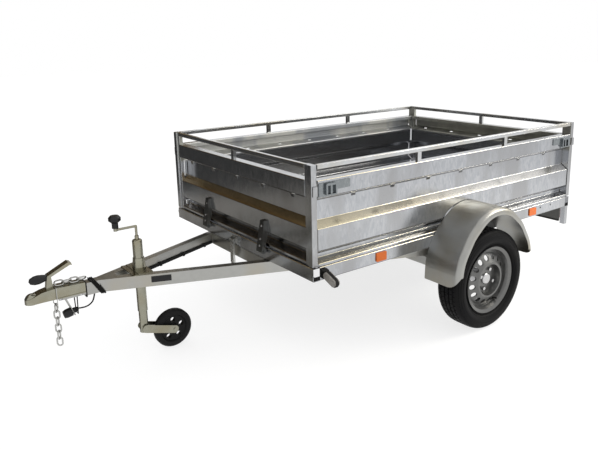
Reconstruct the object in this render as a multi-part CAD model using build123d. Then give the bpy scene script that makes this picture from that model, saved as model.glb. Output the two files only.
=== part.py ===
"""Single-axle tipping utility trailer with a galvanised drop-side box, V drawbar and jockey wheel.

Millimetres. +X points forward to the coupling, +Y to the left, +Z up.
Stations below are measured from the wheel axle and from the ground; every part is
moved by ORIGIN_X on export, so the origin lies on the ground at the middle of the whole trailer.
"""
from math import atan2, cos, degrees, radians, sin
import os

from build123d import *

os.makedirs("parts", exist_ok=True)

# Driving sizes: box
BOX_LENGTH = 2052         # over the corner posts
BOX_WIDTH = 1400
AXLE_BACK = 6             # axle behind the middle of the box
WALL_HEIGHT = 404         # above the bed frame
WALL_DEPTH = 50           # depth of the pressed wall section
RAIL_RISE = 72            # guard rail top above the walls
RAIL_SIZE = 22
FRAME_HEIGHT = 64
FRAME_DEPTH = 40          # flange width of the sills and cross members
POST_DEPTH = 30           # corner post along X
POST_WIDTH = 60           # corner post along Y
FLOOR_THICK = 12
SHEET = 2                 # wall sheet
STEEL = 3                 # frame and bracket steel
BEND = 4                  # bend radius of pressed sheet
CLEAR = 6                 # gap between pieces that move past each other
PIN_GAP = 0.3             # radial gap of a hinge pin

# Driving sizes: running gear
TYRE_RADIUS = 272
TYRE_WIDTH = 155
RIM_FLANGE_RADIUS = 0.669 * TYRE_RADIUS
RIM_WIDTH = 130
WHEEL_GAP = 46.5          # tyre wall to the side of the box
SPINDLE_RADIUS = 15
SWING_REACH = 130         # torsion tube ahead of the axle
SWING_RISE = 58           # torsion tube above the axle
RIDE = 190                # underside of the bed frame above the axle

# Driving sizes: drawbar
BALL_REACH = 1042         # ball centre ahead of the box
BALL_RADIUS = 25
BEAM_HEIGHT = 60
BEAM_WIDTH = 40
BEAM_INSET = 26           # beam tails inside the width of the box

# Driving sizes: jockey wheel
JOCKEY_BACK = 501         # jockey tube behind the ball
JOCKEY_TUBE = 24          # outer tube radius
JOCKEY_RADIUS = 100       # wheel radius
JOCKEY_TRAIL = 150        # wheel axle behind the tube

# Driving sizes: tilting bed
TILT_BACK = 40            # tilt pin behind the axle
TILT_PIN = 10

# Driving sizes: what stands out from the ends of the box
HINGE_OUT = 18            # gate hinge pin from the box face
KNUCKLE = 12              # rounded end of a hinge strap about its pin
LAMP_OUT = 30             # tail lamp glass from the box face

# Stations that follow from the driving sizes
BOX_FRONT = BOX_LENGTH / 2 + AXLE_BACK
BOX_REAR = BOX_FRONT - BOX_LENGTH
BOX_HALF = BOX_WIDTH / 2
FRAME_BOTTOM = TYRE_RADIUS + RIDE
FRAME_TOP = FRAME_BOTTOM + FRAME_HEIGHT
FLOOR_TOP = FRAME_TOP + FLOOR_THICK
WALL_TOP = FRAME_TOP + WALL_HEIGHT
RAIL_TOP = WALL_TOP + RAIL_RISE
GATE_BASE = FRAME_TOP + CLEAR
WALL_FRONT = BOX_FRONT - POST_DEPTH - CLEAR
WALL_REAR = BOX_REAR + POST_DEPTH + CLEAR
POST_INNER = BOX_HALF - POST_WIDTH
WHEEL_Y = BOX_HALF + WHEEL_GAP + TYRE_WIDTH / 2
BEAM_TOP = FRAME_BOTTOM - CLEAR
BEAM_BOTTOM = BEAM_TOP - BEAM_HEIGHT
BALL_X = BOX_FRONT + BALL_REACH
BALL_Z = BEAM_TOP - BEAM_HEIGHT / 2 + 4
CUP_RADIUS = BALL_RADIUS + 5
NOSE_X = BALL_X + CUP_RADIUS
JOCKEY_X = BALL_X - JOCKEY_BACK
TILT_X = -TILT_BACK
TILT_Z = BEAM_BOTTOM - 16
LAMP_REAR = BOX_REAR - LAMP_OUT
REAR_END = min(LAMP_REAR, BOX_REAR - HINGE_OUT - KNUCKLE)
ORIGIN_X = -(NOSE_X + REAR_END) / 2


def block(x0, x1, y0, y1, z0, z1):
    """Block between two limits on each axis."""
    return Pos((x0 + x1) / 2, (y0 + y1) / 2, (z0 + z1) / 2) * Box(abs(x1 - x0), abs(y1 - y0), abs(z1 - z0))


def rod_x(x0, x1, y, z, radius):
    return Pos((x0 + x1) / 2, y, z) * Rot(0, 90, 0) * Cylinder(radius, abs(x1 - x0))


def rod_y(x, y0, y1, z, radius):
    return Pos(x, (y0 + y1) / 2, z) * Rot(90, 0, 0) * Cylinder(radius, abs(y1 - y0))


def rod_z(x, y, z0, z1, radius):
    return Pos(x, y, (z0 + z1) / 2) * Cylinder(radius, abs(z1 - z0))


def outline(points, rounding=0):
    """Face inside closed points, its corners rounded where a radius is given."""
    edge = FilletPolyline(*points, radius=rounding, close=True) if rounding else Polyline(*points, close=True)
    return make_face(edge)


def sheet(points, thickness, bend=BEND):
    """Section of a sheet folded along points, its thickness on the right of the path."""
    path = FilletPolyline(*points, radius=bend)
    return make_face(offset(path, amount=thickness, side=Side.RIGHT, closed=True).edges())


def tube(width, height, thickness):
    """Section of a rectangular tube with rounded corners."""
    return RectangleRounded(width, height, 2 * thickness) - RectangleRounded(
        width - 2 * thickness, height - 2 * thickness, thickness)


def along_x(face, x0, x1):
    """Section drawn in (y, z) made solid between two x."""
    return extrude(Plane(origin=(x0, 0, 0), x_dir=(0, 1, 0), z_dir=(1, 0, 0)) * face, amount=x1 - x0)


def along_y(face, y0, y1):
    """Section drawn in (x, z) made solid between two y."""
    plane = Plane(origin=(0, y0, 0), x_dir=(1, 0, 0), z_dir=(0, -1, 0))
    return extrude(plane * face, amount=y1 - y0, dir=(0, 1, 0))


def along_z(face, z0, z1):
    """Section drawn in (x, y) made solid between two z."""
    return extrude(Pos(0, 0, z0) * face, amount=z1 - z0)


def other_side(solid):
    """The matching piece on the right-hand side."""
    return mirror(solid, about=Plane.XZ)


def save(node, *solids):
    """One node of one or more separate solids, moved to the origin of the whole trailer."""
    found = [piece for solid in solids for piece in solid.solids()]
    moved = [Pos(ORIGIN_X, 0, 0) * piece for piece in found]
    export_step(moved[0] if len(moved) == 1 else Compound(children=moved), f"parts/{node}.step")


# Pressed wall section shared by the side walls and both gates: share of the depth, share of the height
WALL_SECTION = [
    (-1, 0.938), (-1, 1), (0, 1), (0, 0.807), (-1, 0.752), (-1, 0.517), (-0.1, 0.441),
    (-0.1, 0.188), (-1, 0.124), (-1, 0.070), (-0.04, 0.040), (-0.04, 0), (-1, 0),
]
HOOK_WIDTH = 26           # lanced rope hooks in the slope below the top band
HOOK_DROP = 16
SIDE_HOOKS = 7
SIDE_HOOK_FRONT = 222     # first and last side hooks from the ends of the wall
SIDE_HOOK_REAR = 245
GATE_HOOKS = 5
SLOPE_TOP = FRAME_TOP + 0.807 * WALL_HEIGHT
SLOPE_LOW = FRAME_TOP + 0.752 * WALL_HEIGHT


def wall_section(base):
    """Wall section by depth behind the outer face and height, standing on a base height."""
    height = WALL_TOP - base
    return sheet([(depth * WALL_DEPTH, base + share * height) for depth, share in WALL_SECTION], SHEET)


def hook_section():
    """Tongue hanging from the slope of the wall."""
    middle = (SLOPE_TOP + SLOPE_LOW) / 2
    return sheet([(-0.70 * WALL_DEPTH, middle - 2), (-0.34 * WALL_DEPTH, middle + 1),
                  (-0.44 * WALL_DEPTH, middle - HOOK_DROP)], SHEET, 3)


def slot_section():
    """Window left in the slope by a lanced tongue."""
    inner = -0.62 * WALL_DEPTH
    outer = -0.36 * WALL_DEPTH
    low = SLOPE_LOW - 4
    return outline([(inner, low), (inner, SLOPE_TOP), (outer, SLOPE_TOP), (outer, low)])


def spaced(first, last, count):
    """Even stations from first to last."""
    return [first + (last - first) * i / (count - 1) for i in range(count)]


# Side walls
side_wall = along_x(Pos(BOX_HALF, 0) * wall_section(FRAME_TOP), WALL_REAR, WALL_FRONT)
for x in spaced(WALL_REAR + SIDE_HOOK_REAR, WALL_FRONT - SIDE_HOOK_FRONT, SIDE_HOOKS):
    side_wall -= along_x(Pos(BOX_HALF, 0) * slot_section(), x - HOOK_WIDTH / 2, x + HOOK_WIDTH / 2)
    side_wall += along_x(Pos(BOX_HALF, 0) * hook_section(), x - HOOK_WIDTH / 2, x + HOOK_WIDTH / 2)
save("side_walls", side_wall, other_side(side_wall))

# Side rails on short posts
STUB_WIDTH = 26
STUB_DEPTH = 16
RAIL_Y = BOX_HALF - 2 - RAIL_SIZE / 2
RAIL_LOW = RAIL_TOP - RAIL_SIZE
SIDE_STUBS = (BOX_LENGTH / 6 + 10, -BOX_LENGTH / 6)
rail_section = tube(RAIL_SIZE, RAIL_SIZE, SHEET)
side_rail = along_x(Pos(RAIL_Y, RAIL_TOP - RAIL_SIZE / 2) * rail_section, WALL_REAR, WALL_FRONT)
for x in SIDE_STUBS:
    side_rail += block(x - STUB_WIDTH / 2, x + STUB_WIDTH / 2, RAIL_Y - STUB_DEPTH / 2, RAIL_Y + STUB_DEPTH / 2,
                       WALL_TOP, RAIL_LOW)
save("side_rails", side_rail, other_side(side_rail))

# Bed frame: C sills, cross members between them, full-width front and rear members
SILL_FRONT = BOX_FRONT - FRAME_DEPTH
SILL_REAR = BOX_REAR + FRAME_DEPTH
SILL_INNER = BOX_HALF - FRAME_DEPTH
SILL_HOLE_RADIUS = 6
SILL_HOLE_PITCH = 107
SILL_HOLE_X = BOX_REAR + 201
SILL_HOLE_Z = FRAME_BOTTOM + FRAME_HEIGHT / 2 + 11


def channel(back, flange):
    """C section with its web at back and its flanges reaching to flange."""
    points = [(flange, FRAME_TOP), (back, FRAME_TOP), (back, FRAME_BOTTOM), (flange, FRAME_BOTTOM)]
    return sheet(points if back > flange else points[::-1], STEEL)


sill = along_x(channel(BOX_HALF, SILL_INNER), SILL_REAR, SILL_FRONT)
for x in (SILL_HOLE_X, SILL_HOLE_X + SILL_HOLE_PITCH):
    sill -= rod_y(x, BOX_HALF - 2 * STEEL, BOX_HALF + STEEL, SILL_HOLE_Z, SILL_HOLE_RADIUS)
save("sills", sill, other_side(sill))

cross_members = [
    along_y(channel(BOX_FRONT, SILL_FRONT), -BOX_HALF, BOX_HALF),
    along_y(channel(BOX_REAR, SILL_REAR), -BOX_HALF, BOX_HALF),
]
for x in (0.6 * SILL_FRONT, TILT_X + FRAME_DEPTH / 2, 0.6 * SILL_REAR):
    cross_members.append(along_y(channel(x, x - FRAME_DEPTH), -SILL_INNER, SILL_INNER))
save("cross_members", *cross_members)

# Plywood floor
FLOOR_END = WALL_DEPTH + SHEET + 4 + CLEAR
FLOOR_HALF = BOX_HALF - WALL_DEPTH - SHEET - 2
floor = block(BOX_REAR + FLOOR_END, BOX_FRONT - FLOOR_END, -FLOOR_HALF, FLOOR_HALF, FRAME_TOP, FLOOR_TOP)
save("floor", floor)

# Gates: pressed panel, stepped tube posts, rail and channel hinge straps, front and rear alike
PANEL_SET = 4             # panel behind the face of the posts
POST_STEP = 7             # inner strip of a post behind its face
POST_STRIP = 0.42         # width of that strip as a share of the post
HINGE_Y = 0.415 * BOX_HALF
HINGE_PIN = 5
HINGE_Z = FRAME_TOP - 16
STRAP_FOOT = 26           # half width of a strap at the pin
STRAP_TIP = 17            # half width of a strap at its top
STRAP_TOP = FRAME_TOP + 0.344 * WALL_HEIGHT
KEEPER_LOW = WALL_TOP - 69
KEEPER_HIGH = WALL_TOP - 24
RIB_SET = 0.1 * WALL_DEPTH + PANEL_SET


def strap_form(face, out, y, wall):
    """Tapered body of a strap, drawn in by a wall thickness for its hollow."""
    back = face - out * (RIB_SET + wall)
    heel = face + out * (HINGE_OUT - KNUCKLE)
    side = [(back, STRAP_TOP - wall), (face + out * (6 - wall), STRAP_TOP - wall),
            (face + out * (HINGE_OUT + KNUCKLE - wall), HINGE_Z), (heel, HINGE_Z),
            (heel, GATE_BASE + 8), (back, GATE_BASE + 40)]
    foot = STRAP_FOOT - wall
    tip = STRAP_TIP - wall
    low = HINGE_Z - 2 * KNUCKLE
    waist = HINGE_Z + KNUCKLE
    front = [(y - foot, low), (y + foot, low), (y + foot, waist), (y + tip, STRAP_TOP), (y - tip, STRAP_TOP),
             (y - foot, waist)]
    body = along_y(outline(side), y - foot, y + foot)
    body += rod_y(face + out * HINGE_OUT, y - foot, y + foot, HINGE_Z, KNUCKLE - wall)
    return body & along_x(outline(front), face - out * 2 * POST_DEPTH, face + out * 2 * POST_DEPTH)


def post_outline(face, out):
    """Plan of the left post: an outer tube that stands proud of a strip beside the panel."""
    step = face - out * POST_STEP
    back = face - out * POST_DEPTH
    edge = POST_INNER + POST_STRIP * POST_WIDTH
    corners = [(face, BOX_HALF), (face, edge), (step, edge), (step, POST_INNER), (back, POST_INNER),
               (back, BOX_HALF)]
    return outline(corners, 1.5 * SHEET)


def gate(face, out):
    """Pieces of a gate whose posts face outward at x = face; out is +1 at the front and -1 at the rear."""
    skin = face - out * PANEL_SET
    place = Pos(skin, 0) if out > 0 else Pos(skin, 0) * Rot(0, 180, 0)
    panel = along_y(place * wall_section(GATE_BASE), -POST_INNER, POST_INNER)
    for y in spaced(-0.74 * BOX_HALF, 0.74 * BOX_HALF, GATE_HOOKS):
        panel -= along_y(place * slot_section(), y - HOOK_WIDTH / 2, y + HOOK_WIDTH / 2)
        panel += along_y(place * hook_section(), y - HOOK_WIDTH / 2, y + HOOK_WIDTH / 2)
    middle = face - out * POST_DEPTH / 2
    plan = post_outline(face, out)
    post = along_z(plan, GATE_BASE, RAIL_TOP) - along_z(offset(plan, -SHEET), GATE_BASE - 1, RAIL_TOP - SHEET)
    post += block(middle - 12, middle + 12, BOX_HALF - 1, BOX_HALF + 8, KEEPER_LOW, KEEPER_HIGH)
    rail = along_y(Pos(middle, RAIL_TOP - RAIL_SIZE / 2) * rail_section, -POST_INNER, POST_INNER)
    rail += block(middle - STUB_DEPTH / 2, middle + STUB_DEPTH / 2, -STUB_WIDTH / 2, STUB_WIDTH / 2,
                  WALL_TOP, RAIL_LOW)
    pin_x = face + out * HINGE_OUT
    lug_half = STRAP_FOOT - STEEL - 2
    straps = []
    leaves = []
    for side in (1, -1):
        y = side * HINGE_Y
        strap = strap_form(face, out, y, 0) - strap_form(face, out, y, STEEL)
        strap -= block(face, pin_x + out * (KNUCKLE - STEEL), y - STRAP_FOOT + STEEL, y + STRAP_FOOT - STEEL,
                       HINGE_Z - 2 * KNUCKLE, HINGE_Z + KNUCKLE - STEEL)
        strap -= rod_y(pin_x, y - 2 * STRAP_FOOT, y + 2 * STRAP_FOOT, HINGE_Z, HINGE_PIN + PIN_GAP)
        straps.append(strap)
        lug = block(face, pin_x, y - lug_half, y + lug_half, HINGE_Z - 8, HINGE_Z + 8)
        lug += rod_y(pin_x, y - lug_half, y + lug_half, HINGE_Z, 8)
        lug += rod_y(pin_x, y - STRAP_FOOT - 4, y + STRAP_FOOT + 4, HINGE_Z, HINGE_PIN)
        leaves.append(lug)
    return panel, [post, other_side(post)], rail, straps, leaves


front_panel, front_posts, front_rail, front_straps, front_leaves = gate(BOX_FRONT, 1)
rear_panel, rear_posts, rear_rail, rear_straps, rear_leaves = gate(BOX_REAR, -1)
save("front_gate_panel", front_panel)
save("front_gate_posts", *front_posts)
save("front_gate_rail", front_rail)
save("front_gate_straps", *front_straps)
save("tailgate_panel", rear_panel)
save("tailgate_posts", *rear_posts)
save("tailgate_rail", rear_rail)
save("tailgate_straps", *rear_straps)
save("hinge_leaves", *front_leaves, *rear_leaves)

# Over-centre latches on the side walls: base plate with a narrow tail, and a folded lever box
LATCH_LENGTH = 180
LATCH_HEAD = 100
LATCH_HEIGHT = 64
LATCH_HIGH = WALL_TOP - 12
LATCH_LOW = LATCH_HIGH - LATCH_HEIGHT
LEVER_BOX = 12
latches = []
for end, step in ((WALL_FRONT - 3, -1), (WALL_REAR + 3, 1)):
    head = end + step * LATCH_HEAD
    tail = end + step * LATCH_LENGTH
    plate_out = BOX_HALF + 4
    lever_out = plate_out + LEVER_BOX
    base = along_y(outline([(end, LATCH_LOW), (end, LATCH_HIGH), (tail, LATCH_HIGH), (tail, LATCH_LOW + 24),
                            (head, LATCH_LOW + 24), (head, LATCH_LOW)], 6), BOX_HALF, plate_out)
    near, far = end + step * 32, end + step * 94
    base += along_y(outline([(near, LATCH_LOW + 6), (near, LATCH_HIGH - 4), (far, LATCH_HIGH - 4),
                             (far, LATCH_LOW + 6)], 8), plate_out - 1, lever_out)
    base -= block(near + step * 8, far - step * 8, plate_out, lever_out + 1, LATCH_LOW + 10, LATCH_HIGH - 14)
    base += block(near + step * 26, near + step * 36, plate_out - 1, lever_out - 2,
                  LATCH_LOW + 9, LATCH_HIGH - 13)
    latches += [base, other_side(base)]
save("latches", *latches)

# Fenders: shells with a rolled shoulder and an open wheel arch
FENDER_COVER = 23.5       # fender beyond the outer tyre wall
FENDER_SHEET = 2
FENDER_LIP = 36
FENDER_SHOULDER = 26
FENDER_CORNER = 75
FENDER_ARC = 0.84 * TYRE_RADIUS
FENDER_OUT = WHEEL_Y + TYRE_WIDTH / 2 + FENDER_COVER
# Vertices of the arch in tyre radii ahead of the axle and above it
FENDER = [(1.110, 0.103), (1.088, 0.581), (0.765, 1.077), (0.294, 1.467), (-0.349, 1.467), (-0.820, 1.077),
          (-1.143, 0.581), (-1.172, 0.290)]
fender_points = [(across * TYRE_RADIUS, TYRE_RADIUS * (1 + up)) for across, up in FENDER]
fender_front, fender_rear = fender_points[0], fender_points[-1]
FENDER_LOW = fender_front[1] - 40


def run_on(tip, before):
    """Point at FENDER_LOW straight on from the last run of the fender curve."""
    (x, z), (x0, z0) = tip, before
    return (x + (x - x0) * (FENDER_LOW - z) / (z - z0), FENDER_LOW)


fender_curve = [run_on(*fender_points[:2])] + fender_points[1:-1] + [run_on(*fender_points[:-3:-1])]


def fender_form(depth, width, shoulder):
    """Solid under the fender curve drawn in by a depth, with a rounded shoulder on its outer edge."""
    curve = FilletPolyline(*fender_curve, radius=FENDER_ARC)
    if depth:
        curve = offset(curve, amount=depth, side=Side.LEFT, closed=False)
    closing = Line(curve @ 1, curve @ 0)
    form = along_y(make_face(curve.edges() + [closing]), BOX_HALF, BOX_HALF + width)
    if shoulder:
        rim = form.faces().sort_by(Axis.Y)[-1].edges()
        form = fillet([edge for edge in rim if edge.center().Z > FENDER_LOW + shoulder / 2], shoulder)
    return form


fender_width = FENDER_OUT - BOX_HALF
fender = fender_form(0, fender_width, FENDER_SHOULDER)
fender -= fender_form(FENDER_SHEET, fender_width - FENDER_SHEET, FENDER_SHOULDER - FENDER_SHEET)
fender -= Pos(0, fender_width / 2, 0) * fender_form(FENDER_LIP, fender_width, 0)
for (tip_x, tip_z), reach, corner in ((fender_front, -1, FENDER_CORNER), (fender_rear, 1, 0.7 * FENDER_CORNER)):
    tip_out = tip_x - reach * 20
    tip_in = tip_x + reach * TYRE_RADIUS / 2
    fender -= block(tip_out, tip_in, BOX_HALF - 1, FENDER_OUT + 1, FENDER_LOW - 1, tip_z)
    trim = block(tip_out, tip_in, FENDER_OUT - corner, FENDER_OUT + 1, tip_z, tip_z + corner)
    fender -= trim - rod_x(tip_out, tip_in, FENDER_OUT - corner, tip_z + corner, corner)
save("fenders", fender, other_side(fender))

# Side reflectors
REFLECTOR_LENGTH = 66
REFLECTOR_HEIGHT = 44
REFLECTOR_DEPTH = 6
REFLECTOR_FRONT = 417     # from the front of the box
REFLECTOR_REAR = 390      # from the rear of the box
reflectors = []
for x in (BOX_FRONT - REFLECTOR_FRONT, BOX_REAR + REFLECTOR_REAR):
    plate = Pos(x, FRAME_BOTTOM + FRAME_HEIGHT / 2) * RectangleRounded(REFLECTOR_LENGTH, REFLECTOR_HEIGHT, 5)
    reflector = along_y(plate, BOX_HALF, BOX_HALF + REFLECTOR_DEPTH)
    reflectors += [reflector, other_side(reflector)]
save("side_reflectors", *reflectors)

# Front marker lamps: capsule pods slung outward and down from the sill ends on rubber necks
POD_LENGTH = 95
POD_WIDTH = 44
POD_DEPTH = 14            # rubber middle of a pod
POD_EDGE = 3              # rubber showing round the glass
LENS_DEPTH = 9
POD_SLOPE = 21
NECK_LENGTH = 32          # along the sill
POD_X = SILL_FRONT - 18
POD_Y = BOX_HALF + 60
POD_Z = FRAME_BOTTOM + 21
pod_place = Pos(POD_Y, POD_Z) * Rot(0, 0, -POD_SLOPE)
pod = pod_place * SlotOverall(POD_LENGTH, POD_WIDTH)
glass = pod_place * SlotOverall(POD_LENGTH - 2 * POD_EDGE, POD_WIDTH - 2 * POD_EDGE)
neck = outline([(BOX_HALF, FRAME_TOP - 6), (BOX_HALF + 30, FRAME_TOP - 14), (POD_Y, POD_Z + 12),
                (POD_Y, POD_Z - 8), (BOX_HALF, POD_Z - 6)], 6)
arm = along_x(neck, POD_X - NECK_LENGTH / 2, POD_X + NECK_LENGTH / 2)
arm -= along_x(pod, POD_X - NECK_LENGTH, POD_X + NECK_LENGTH)
arm += along_x(pod, POD_X - POD_DEPTH / 2, POD_X + POD_DEPTH / 2)
front_lens = along_x(glass, POD_X + POD_DEPTH / 2, POD_X + POD_DEPTH / 2 + LENS_DEPTH)
front_lens = fillet(front_lens.faces().sort_by(Axis.X)[-1].edges(), 5)
rear_lens = mirror(front_lens, about=Plane(origin=(POD_X, 0, 0), z_dir=(1, 0, 0)))
save("marker_arms", arm, other_side(arm))
save("marker_lenses", front_lens, other_side(front_lens), rear_lens, other_side(rear_lens))

# Rear corner brackets, lamp board and tail lamps
BRACKET_DROP = 117
BRACKET_WIDTH = 36
BOARD_GAP = 14            # daylight between the board and a bracket
BOARD_DROP = 110
LAMP_LENGTH = 220
LAMP_HEIGHT = 92
LAMP_BODY = 16
bracket_low = FRAME_BOTTOM - BRACKET_DROP
bracket_place = Pos(BOX_REAR + POST_DEPTH / 2, BOX_HALF - BRACKET_WIDTH / 2)
bracket = along_z(bracket_place * tube(POST_DEPTH, BRACKET_WIDTH, STEEL), bracket_low, FRAME_BOTTOM)
save("rear_brackets", bracket, other_side(bracket))
board_half = BOX_HALF - BRACKET_WIDTH - BOARD_GAP
board_x = BOX_REAR + CLEAR
board_low = FRAME_BOTTOM - BOARD_DROP
board_lip = board_x + 14
board_folds = [(board_lip, board_low), (board_x, board_low), (board_x, FRAME_BOTTOM), (board_lip, FRAME_BOTTOM)]
board = along_y(sheet(board_folds, STEEL), -board_half, board_half)
save("lamp_board", board)
lamp_place = Pos(board_half - 8 - LAMP_LENGTH / 2, FRAME_BOTTOM - 9 - LAMP_HEIGHT / 2)
lamp = along_x(lamp_place * RectangleRounded(LAMP_LENGTH, LAMP_HEIGHT, 8), board_x, board_x - LAMP_BODY)
lamp_glass = lamp_place * RectangleRounded(LAMP_LENGTH - 8, LAMP_HEIGHT - 8, 8)
lamp_lens = along_x(lamp_glass, board_x - LAMP_BODY, LAMP_REAR)
lamp_lens = fillet(lamp_lens.faces().sort_by(Axis.X)[0].edges(), 5)
save("tail_lamps", lamp, other_side(lamp))
save("tail_lamp_lenses", lamp_lens, other_side(lamp_lens))

# Drawbar beams that meet at the nose, and the cross beams that tie them
CROSS_SIZE = 60
CROSS_X = SWING_REACH     # rear cross beam above the torsion tube
BEAM_REAR = CROSS_X + CROSS_SIZE / 2
BEAM_FOCUS = BALL_X - 234  # where the outer faces of the beams meet
BEAM_SPREAD = (BOX_HALF - BEAM_INSET) / (BEAM_FOCUS - BEAM_REAR)
BEAM_SPAN = BEAM_WIDTH / cos(atan2(BEAM_SPREAD, 1))
TIE_FRONT = BOX_FRONT - 8
TIE_DEPTH = 40
NOSE_HALF = 25
NOSE_LAP = 8              # depth of the inner beam walls let into the nose
NOSE_REAR = BEAM_FOCUS - (BEAM_SPAN + NOSE_HALF - NOSE_LAP) / BEAM_SPREAD
NOSE_FRONT = BEAM_FOCUS + 50
BEAM_END_LOW = BEAM_FOCUS - 67
BEAM_END_HIGH = BEAM_FOCUS - 25
CHANNEL_HALF = NOSE_HALF + 8   # coupling channel that sits over the nose on a tongue
CHANNEL_REAR = BEAM_FOCUS + 6
CHANNEL_TOP = BEAM_TOP + 12
CHANNEL_LOW = BEAM_BOTTOM + 20
TONGUE_LOW = CHANNEL_LOW - 10
TONGUE_FRONT = BALL_X - 122


def beam_outer(x):
    """Outer face of the left beam at station x."""
    return BEAM_SPREAD * (BEAM_FOCUS - x)


def beam_slab(depth0, depth1, x0, x1, z0, z1):
    """Length of the left beam between two depths behind its outer face."""
    corners = [(x0, beam_outer(x0) - depth0), (x1, beam_outer(x1) - depth0), (x1, beam_outer(x1) - depth1),
               (x0, beam_outer(x0) - depth1)]
    return along_z(outline(corners), z0, z1)


beam = beam_slab(0, BEAM_SPAN, BEAM_REAR, BEAM_FOCUS, BEAM_BOTTOM, BEAM_TOP)
beam -= beam_slab(STEEL, BEAM_SPAN - STEEL, BEAM_REAR - 1, NOSE_REAR, BEAM_BOTTOM + STEEL, BEAM_TOP - STEEL)
beam -= block(NOSE_REAR, NOSE_FRONT, -BEAM_SPAN, NOSE_HALF, BEAM_BOTTOM - 1, BEAM_TOP + 1)
beam -= block(BEAM_REAR, NOSE_FRONT, -BOX_HALF, 0, BEAM_BOTTOM - 1, BEAM_TOP + 1)
beam_end = [(BEAM_END_LOW, BEAM_BOTTOM - 1), (BEAM_END_HIGH, BEAM_TOP + 1), (NOSE_FRONT, BEAM_TOP + 1),
            (NOSE_FRONT, BEAM_BOTTOM - 1)]
beam -= along_y(outline(beam_end), 0, 4 * BEAM_WIDTH)
save("drawbar_beams", beam, other_side(beam))
nose = block(NOSE_REAR, CHANNEL_REAR, -NOSE_HALF, NOSE_HALF, BEAM_BOTTOM, BEAM_TOP)
nose += block(CHANNEL_REAR, NOSE_FRONT, -NOSE_HALF, NOSE_HALF, TONGUE_LOW, BEAM_TOP)
nose += block(CHANNEL_REAR, TONGUE_FRONT, -CHANNEL_HALF, CHANNEL_HALF, TONGUE_LOW, CHANNEL_LOW)
save("drawbar_nose", nose)

cross_half = BOX_HALF - 10
cross_section = Pos(CROSS_X, (BEAM_BOTTOM + BEAM_TOP) / 2) * (
    Rectangle(CROSS_SIZE, BEAM_HEIGHT) - Rectangle(CROSS_SIZE - 2 * STEEL, BEAM_HEIGHT - 2 * STEEL))
rear_cross = along_y(cross_section, -cross_half, cross_half)
tie_rear = TIE_FRONT - TIE_DEPTH
tie_rear_half = beam_outer(tie_rear) - BEAM_SPAN
tie_front_half = beam_outer(TIE_FRONT) - BEAM_SPAN
tie_corners = [(tie_rear, tie_rear_half), (TIE_FRONT, tie_front_half), (TIE_FRONT, -tie_front_half),
               (tie_rear, -tie_rear_half)]
tie = along_z(outline(tie_corners), BEAM_BOTTOM, BEAM_TOP)
tie -= block(tie_rear + STEEL, TIE_FRONT - STEEL, -BOX_HALF, BOX_HALF, BEAM_BOTTOM + STEEL, BEAM_TOP - STEEL)
save("chassis_cross_beams", rear_cross, tie)

# Torsion axle: tube, seats, swing arms and spindles
TORSION_Z = TYRE_RADIUS + SWING_RISE
TORSION_HALF = 30
ARM_IN = BOX_HALF - 60
ARM_OUT = ARM_IN + 36
ARM_HALF = 32
SEAT_LENGTH = 60
axle_tube = along_y(Pos(SWING_REACH, TORSION_Z) * tube(2 * TORSION_HALF, 2 * TORSION_HALF, 4), -ARM_IN, ARM_IN)
for side in (1, -1):
    seat_out = side * (ARM_IN - 20)
    axle_tube += block(SWING_REACH - TORSION_HALF, SWING_REACH + TORSION_HALF, seat_out - side * SEAT_LENGTH,
                       seat_out, TORSION_Z + TORSION_HALF, BEAM_BOTTOM)
save("axle_tube", axle_tube)
arm_angle = atan2(SWING_RISE, SWING_REACH)
lean_x = -sin(arm_angle) * ARM_HALF
lean_z = cos(arm_angle) * ARM_HALF
swing_view = [(lean_x, TYRE_RADIUS + lean_z), (SWING_REACH + lean_x, TORSION_Z + lean_z),
              (SWING_REACH - lean_x, TORSION_Z - lean_z), (-lean_x, TYRE_RADIUS - lean_z)]
swing = along_y(outline(swing_view), ARM_IN, ARM_OUT)
swing += rod_y(0, ARM_IN, ARM_OUT, TYRE_RADIUS, ARM_HALF)
swing += rod_y(SWING_REACH, ARM_IN, ARM_OUT, TORSION_Z, ARM_HALF)
swing += rod_y(0, ARM_OUT, WHEEL_Y + 20, TYRE_RADIUS, SPINDLE_RADIUS)
save("swing_arms", swing, other_side(swing))

# Wheels: tyre, pressed rim with a ring of holes, and hub with bolts
BEAD = 12                 # bead seat below the rim flange
BEAD_HALF = RIM_WIDTH / 2 - 8
RIM_SHEET = 5
DISC_FACE = WHEEL_Y + RIM_WIDTH / 2 - 38
HUB_RADIUS = 30
BOLT_CIRCLE = 54
BOLT_COUNT = 4
BOLT_RADIUS = 6
RIM_HOLES = 16
RIM_HOLE_RADIUS = 14
RIM_HOLE_CIRCLE = 0.674 * RIM_FLANGE_RADIUS
CROWN = 37                # raised ring of the rim disc above its bolted middle


def turned(profile):
    """Solid of revolution about the wheel axis from (radius, y) points."""
    return Pos(0, 0, TYRE_RADIUS) * revolve(outline(profile), Axis.Y)


def ring(count, first, circle, x=0, z=TYRE_RADIUS):
    """Even (x, z) stations on a circle about a wheel axis."""
    angles = [radians(first + 360 / count * i) for i in range(count)]
    return [(x + circle * cos(a), z + circle * sin(a)) for a in angles]


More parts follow.
